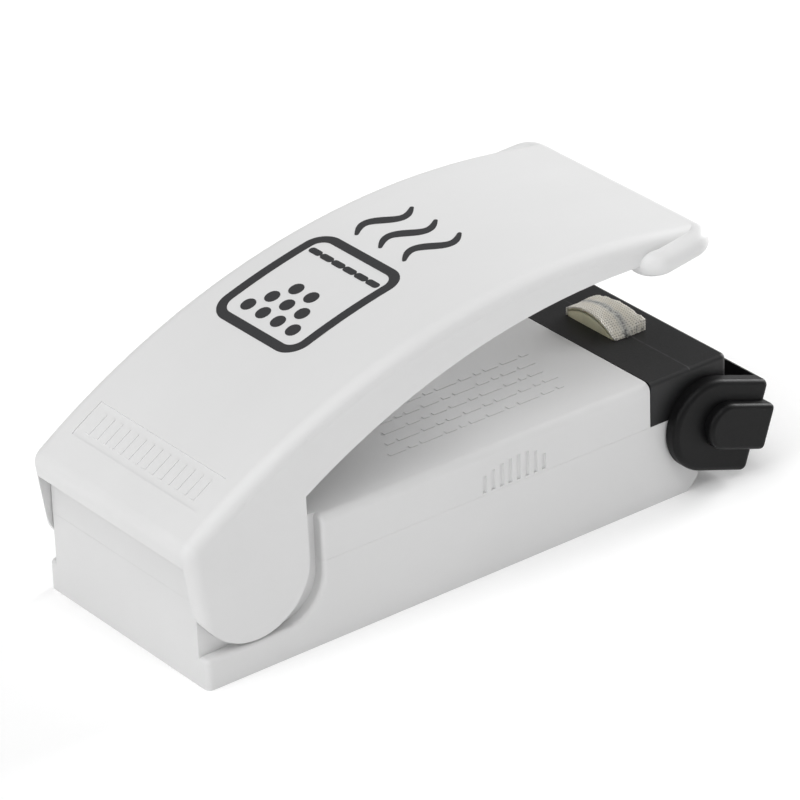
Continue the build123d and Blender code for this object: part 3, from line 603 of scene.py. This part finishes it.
def tube(points, radius, sides):
    """Vertices and faces of a thin thread along points, tapering to its end."""
    vertices = []
    faces = []
    for index, point in enumerate(points):
        ahead = points[min(index + 1, len(points) - 1)] - points[max(index - 1, 0)]
        ahead.normalize()
        side = ahead.orthogonal().normalized()
        other = ahead.cross(side)
        size = radius * (1 - 0.6 * index / (len(points) - 1))
        for k in range(sides):
            angle = 2 * math.pi * k / sides
            vertices.append(point + side * size * math.cos(angle) + other * size * math.sin(angle))
    for index in range(len(points) - 1):
        for k in range(sides):
            a = index * sides + k
            b = index * sides + (k + 1) % sides
            faces.append((a, b, b + sides, a + sides))
    faces.append(tuple(reversed(range(sides))))
    faces.append(tuple(range(len(vertices) - sides, len(vertices))))
    return vertices, faces


def add_frayed_threads():
    """Loose thread ends along the cloth's cut edges."""
    draw = random.Random(7)
    vertices = []
    faces = []

    def put(points, radius):
        more, quads = tube(points, radius, 6)
        offset = len(vertices)
        vertices.extend(more)
        faces.extend(tuple(i + offset for i in quad) for quad in quads)

    # the cut ends of the threads that run along the rear edge
    y = -4.7 * MM
    while y < 4.9 * MM:
        z = pad_height(y, 0) - 0.07 * MM
        end_x = cloth_low.x - draw.uniform(0.0, 0.16) * MM
        start = Vector((cloth_low.x + 0.3 * MM, y, z + 0.02 * MM))
        end = Vector((end_x, y + draw.uniform(-0.04, 0.04) * MM, z - draw.uniform(0, 0.06) * MM))
        put([start, start.lerp(end, 0.5), end], 0.12 * MM)
        y += THREAD_PITCH
    # finer loose fibres along both long edges
    for side, edge_x, share in ((-1, cloth_low.x, 0), (1, cloth_high.x + 0.15 * MM, 1)):
        y = -4.6 * MM
        while y < 4.8 * MM:
            start = Vector((edge_x - side * 0.15 * MM, y, pad_height(y, share) - 0.02 * MM))
            reach = draw.uniform(0.2, 0.42) * MM
            sway = draw.uniform(-0.15, 0.15) * MM
            lift = draw.uniform(-0.16, 0.05) * MM
            put([start + Vector((side * reach * t, sway * t * t, lift * t * t))
                 for t in (0, 0.35, 0.7, 1)], 0.055 * MM)
            y += draw.uniform(0.4, 1.1) * MM
    # and at the pad's two feet
    for end in (-1, 1):
        x = cloth_low.x + 0.3 * MM
        while x < cloth_high.x:
            start = Vector((x, end * (cloth_high.y - 0.1 * MM), BLOCK_TOP + 0.3 * MM))
            out = draw.uniform(0.1, 0.42) * MM
            sway = draw.uniform(-0.12, 0.12) * MM
            put([start, start + Vector((sway * 0.3, end * out * 0.4, -0.15 * MM)),
                 start + Vector((sway, end * out, -0.22 * MM))], 0.06 * MM)
            x += draw.uniform(0.25, 0.5) * MM
    piece = add_piece("pad_threads", vertices, faces, cloth, "housing")
    set_weave(piece, [0.75] * len(vertices))


add_heater_cloth()
add_core()
add_strip()
add_frayed_threads()


# ---------------------------------------------------------------- press pad

PRESS_ANGLE = math.radians(10.8)        # the strip lies level when the lever is pressed
RIB_PITCH = 0.56 * MM
RIB_HEIGHT = 0.07 * MM


def add_press_pad():
    """Silicone strip with rounded edges and fine ribs along its pressing face."""
    low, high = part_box("press_pad")
    middle = (low + high) / 2
    long_half = 3.35 * MM
    half_y = high.y
    thick = 1.65 * MM
    edge = 0.3 * MM
    samples = 96
    section = []
    for k in range(samples + 1):
        u = -long_half + 2 * long_half * k / samples
        near_edge = long_half - abs(u)
        drop = 0 if near_edge > edge else edge - math.sqrt(edge**2 - (edge - near_edge) ** 2)
        rib = RIB_HEIGHT * (1 - math.cos(2 * math.pi * u / RIB_PITCH)) / 2 if near_edge > edge else 0
        section.append((u, -thick / 2 + drop + rib))
    section += [(long_half, thick / 2), (-long_half, thick / 2)]
    stations = [0, 0.02, 0.06, 0.12, 0.2, 0.3] + [0.3 + 0.4 * k for k in range(1, 58)]
    ys = [-half_y + s * MM for s in stations] + [half_y - s * MM for s in reversed(stations)]
    ys = sorted(set(round(y, 8) for y in ys if abs(y) <= half_y + 1e-9))
    vertices = []
    for y in ys:
        near_end = half_y - abs(y)
        inset = 0 if near_end > edge else edge - math.sqrt(edge**2 - (edge - near_end) ** 2)
        for u, w in section:
            w = max(w, -thick / 2 + inset) if w < 0 else w
            x = middle.x + u * math.cos(PRESS_ANGLE) - w * math.sin(PRESS_ANGLE)
            z = middle.z + u * math.sin(PRESS_ANGLE) + w * math.cos(PRESS_ANGLE)
            vertices.append((x, y, z))
    ring = len(section)
    faces = []
    for j in range(len(ys) - 1):
        for k in range(ring):
            a = j * ring + k
            b = j * ring + (k + 1) % ring
            faces.append((a, b, b + ring, a + ring))
    faces.append(tuple(reversed(range(ring))))
    faces.append(tuple(range((len(ys) - 1) * ring, len(ys) * ring)))
    piece = add_piece("press_strip", vertices, faces, silicone_grey, "lever")
    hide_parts("press_pad")


add_press_pad()


# ---------------------------------------------------------------- springs

def add_spring(node, body, start, along, height, radii, wire, turns, closed):
    """A coil from start along an axis; closed is the number of flat turns at each end."""
    across = along.orthogonal().normalized()
    other = along.cross(across)
    steps = round(40 * turns)
    lead_in = closed * 2.1 * wire
    open_rise = height - 2 * wire - 2 * lead_in
    centres = []
    for k in range(steps + 1):
        turn = turns * k / steps
        from_end = min(turn, turns - turn)
        if from_end < closed:
            rise = lead_in * from_end / closed
            rise = rise if turn < turns / 2 else height - 2 * wire - rise
        else:
            rise = lead_in + open_rise * (turn - closed) / (turns - 2 * closed)
        angle = 2 * math.pi * turn
        radius = radii[0] + (radii[1] - radii[0]) * rise / (height - 2 * wire)
        outward = across * math.cos(angle) + other * math.sin(angle)
        centres.append((start + along * (wire + rise) + outward * radius, outward))
    sides = 14
    vertices = []
    for k, (centre, outward) in enumerate(centres):
        ahead = centres[min(k + 1, steps)][0] - centres[max(k - 1, 0)][0]
        upward = ahead.cross(outward).normalized()
        for j in range(sides):
            angle = 2 * math.pi * j / sides
            vertices.append(centre + (outward * math.cos(angle) + upward * math.sin(angle)) * wire)
    faces = [tuple(range(sides)), tuple(reversed(range(steps * sides, (steps + 1) * sides)))]
    for k in range(steps):
        for j in range(sides):
            a = k * sides + j
            b = k * sides + (j + 1) % sides
            faces.append((a, a + sides, b + sides, b))
    piece = add_piece(node + "_coil", vertices, faces, wire_steel, body)
    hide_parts(node)
    return piece


RETURN_RADIUS = 3.2 * MM
RETURN_WIRE = 0.4 * MM
RETURN_TURNS = 6.5
CONTACT_RADII = (4.4 * MM, 2.9 * MM)
CONTACT_WIRE = 0.3 * MM
CONTACT_TURNS = 3.7


def add_springs():
    """The lever's return spring and two conical springs at the cells."""
    low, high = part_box("return_spring")
    start = Vector(((low.x + high.x) / 2, 0, low.z - 0.01 * MM))
    coil = add_spring("return_spring", None, start, Vector((0, 0, 1)), high.z - low.z + 0.01 * MM,
                      (RETURN_RADIUS, RETURN_RADIUS), RETURN_WIRE, RETURN_TURNS, 0.9)
    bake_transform(coil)
    for node, cell, joint, side in (("rear_contact_spring", "cell_near", "cell_near_slide", 1),
                                    ("front_contact_spring", "cell_far", "cell_far_slide", -1)):
        low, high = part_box(node)
        cell_low, cell_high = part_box(cell)
        start = Vector((low.x if side > 0 else high.x,
                        (cell_low.y + cell_high.y) / 2, (cell_low.z + cell_high.z) / 2))
        along = Vector((side, 0, 0))
        coil = add_spring(node, "housing", start, along, high.x - low.x,
                          CONTACT_RADII, CONTACT_WIRE, CONTACT_TURNS, 0.6)
        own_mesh(coil)


add_springs()


# ---------------------------------------------------------------- printed pictogram

INK_LIFT = 0.03 * MM
INK_SINK = 0.05 * MM


class Print:
    """Flat strokes laid on the lever's arched top, drawn along it (u) and across it (v)."""

    def __init__(self):
        self.vertices = []
        self.faces = []

    def on_top(self, u, v, lift):
        """A point at arc length u from the arc's middle and v across, lifted off the surface."""
        angle = u / LEVER_TOP_R
        radius = LEVER_TOP_R + lift
        return (LEVER_TOP_X + radius * math.sin(angle), v, LEVER_TOP_Z + radius * math.cos(angle))

    def stroke(self, points, widths, closed=False):
        """A stroke along points with rounded ends; widths is one number or one for each point."""
        if not hasattr(widths, "__len__"):
            widths = [widths] * len(points)
        left = []
        right = []
        last = len(points) - 1
        for i, (u, v) in enumerate(points):
            before = points[i - 1] if (closed or i > 0) else points[i]
            after = points[(i + 1) % len(points)] if (closed or i < last) else points[i]
            du, dv = after[0] - before[0], after[1] - before[1]
            length = math.hypot(du, dv) or 1
            half = widths[i] / 2
            left.append((u - dv / length * half, v + du / length * half))
            right.append((u + dv / length * half, v - du / length * half))
        if closed:
            self.band(left + left[:1], right + right[:1])
            return
        self.band(left, right)
        self.fan(points[-1], self.cap(points[-1], points[-2], widths[-1] / 2))
        self.fan(points[0], self.cap(points[0], points[1], widths[0] / 2))

    def cap(self, end, inner, half):
        """A half circle round the end of a stroke."""
        heading = math.atan2(end[1] - inner[1], end[0] - inner[0])
        turned = [heading - math.pi / 2 + math.pi * k / 8 for k in range(9)]
        return [(end[0] + half * math.cos(a), end[1] + half * math.sin(a)) for a in turned]

    def fan(self, centre, rim):
        """The flat face and the edge of a stroke's rounded end."""
        top = [self.add(*centre, INK_LIFT)] + [self.add(u, v, INK_LIFT) for u, v in rim]
        low = [self.add(u, v, -INK_SINK) for u, v in rim]
        for k in range(len(rim) - 1):
            self.faces.append((top[0], top[k + 1], top[k + 2]))
            self.faces.append((top[k + 1], low[k], low[k + 1], top[k + 2]))

    def band(self, left, right):
        """The flat face and both edges of a stroke's run."""
        rows = []
        for a, b in zip(left, right):
            rows.append((self.add(*a, -INK_SINK), self.add(*a, INK_LIFT),
                         self.add(*b, INK_LIFT), self.add(*b, -INK_SINK)))
        for one, two in zip(rows, rows[1:]):
            for k in range(3):
                self.faces.append((one[k], one[k + 1], two[k + 1], two[k]))

    def add(self, u, v, lift):
        self.vertices.append(self.on_top(u, v, lift))
        return len(self.vertices) - 1


def rounded_path(corners, radius, closed, step=0.25 * MM):
    """Points along straight runs joined by arcs."""
    count = len(corners)
    points = []
    for i in range(count):
        corner = Vector(corners[i])
        if not closed and i in (0, count - 1):
            points.append(corner)
            continue
        before = (Vector(corners[i - 1]) - corner).normalized()
        after = (Vector(corners[(i + 1) % count]) - corner).normalized()
        half_turn = before.angle(after) / 2
        back = radius / math.tan(half_turn)
        centre = corner + (before + after).normalized() * (radius / math.sin(half_turn))
        start = corner + before * back - centre
        end = corner + after * back - centre
        total = start.angle_signed(end)
        arcs = max(3, round(abs(total) * radius / step))
        for k in range(arcs + 1):
            angle = math.atan2(start.y, start.x) - total * k / arcs
            points.append(centre + Vector((math.cos(angle), math.sin(angle))) * radius)
    dense = []
    pairs = zip(points, points[1:] + (points[:1] if closed else []))
    for a, b in pairs:
        pieces = max(1, round((b - a).length / (1.0 * MM)))
        dense.extend(a.lerp(b, k / pieces) for k in range(pieces))
    if not closed:
        dense.append(points[-1])
    return [(p.x, p.y) for p in dense]


def add_pictogram():
    """A filled pouch with a dashed seal line across its mouth, and three heat waves before it."""
    drawing = Print()
    # all measures below are in millimetres from this point
    middle_u = -21.4
    middle_v = 4.0
    wave_points = 28

    def place(points):
        return [((middle_u + u) * MM, (middle_v + v) * MM) for u, v in points]

    pouch = place([(-15.5, -8.6), (3.6, -8.6), (3.6, 8.6), (-15.5, 8.6)])
    drawing.stroke(rounded_path(pouch, 2.6 * MM, True), 1.5 * MM, closed=True)
    for k in range(6):
        v = -6.25 + 2.5 * k
        drawing.stroke(place([(0.4, v - 0.7), (0.4, v + 0.7)]), 1.1 * MM)
    for row, count in enumerate((4, 3, 2)):
        u = -12.3 + 2.9 * row
        for k in range(count):
            v = 3.3 * (k - (count - 1) / 2)
            drawing.stroke(place([(u - 0.1, v), (u + 0.1, v)]), 2.1 * MM)
    shares = [i / wave_points for i in range(wave_points + 1)]
    for v in (-5.2, 0.0, 5.2):
        wave = [(6.6 + 9.4 * t, v + 1.3 * math.sin(2 * math.pi * t)) for t in shares]
        drawing.stroke(place(wave), [(0.6 + 1.1 * math.sin(math.pi * t)) * MM for t in shares])
    add_piece("pictogram", drawing.vertices, drawing.faces, ink, "lever", smooth=False)


add_pictogram()


# ---------------------------------------------------------------- floor and light

def add_floor():
    """A plain pale floor."""
    mesh = bpy.data.meshes.new("floor")
    half = 6.0
    corners = [(-half, -half, 0), (half, -half, 0), (half, half, 0), (-half, half, 0)]
    mesh.from_pydata(corners, [], [(0, 1, 2, 3)])
    n = Nodes("floor")
    n.colour(n.mix(n.noise(6, 2), rgb(250, 250, 250), rgb(252, 252, 252)))
    n.shader.inputs["Roughness"].default_value = 0.9
    n.shader.inputs["Specular IOR Level"].default_value = 0.1
    n.shader.inputs["Emission Color"].default_value = (1, 1, 1, 1)
    n.shader.inputs["Emission Strength"].default_value = 0.07
    mesh.materials.append(n.material)
    floor = bpy.data.objects.new("floor", mesh)
    floor.location.z = -0.02 * MM
    bpy.context.scene.collection.objects.link(floor)


def add_light(name, place, size, watts):
    """A square soft box that faces the object."""
    data = bpy.data.lights.new(name, "AREA")
    data.shape = "SQUARE"
    data.size = size
    data.energy = watts
    lamp = bpy.data.objects.new(name, data)
    lamp.location = place
    lamp.rotation_mode = "QUATERNION"
    lamp.rotation_quaternion = Vector(place).to_track_quat("Z", "Y")
    bpy.context.scene.collection.objects.link(lamp)


def add_world(strength):
    """Soft white light from all round."""
    world = bpy.data.worlds.new("world")
    world.use_nodes = True
    background = world.node_tree.nodes["Background"]
    background.inputs["Color"].default_value = (1, 1, 1, 1)
    background.inputs["Strength"].default_value = strength
    bpy.context.scene.world = world


# each light's name, place, size in metres and power in watts
LIGHTS = (
    ("top_box", (-0.35, 0.0, 1.25), 1.1, 6.8),
    ("rear_box", (-1.2, -0.1, 0.7), 0.8, 5.5),
    ("front_box", (1.3, 0.15, 0.4), 0.5, 14.8),
    ("side_box", (-0.1, -0.8, 1.15), 0.6, 3.7),
)
WORLD_STRENGTH = 0.3

add_floor()
add_world(WORLD_STRENGTH)
for light in LIGHTS:
    add_light(*light)
bpy.context.scene.view_settings.view_transform = "Standard"
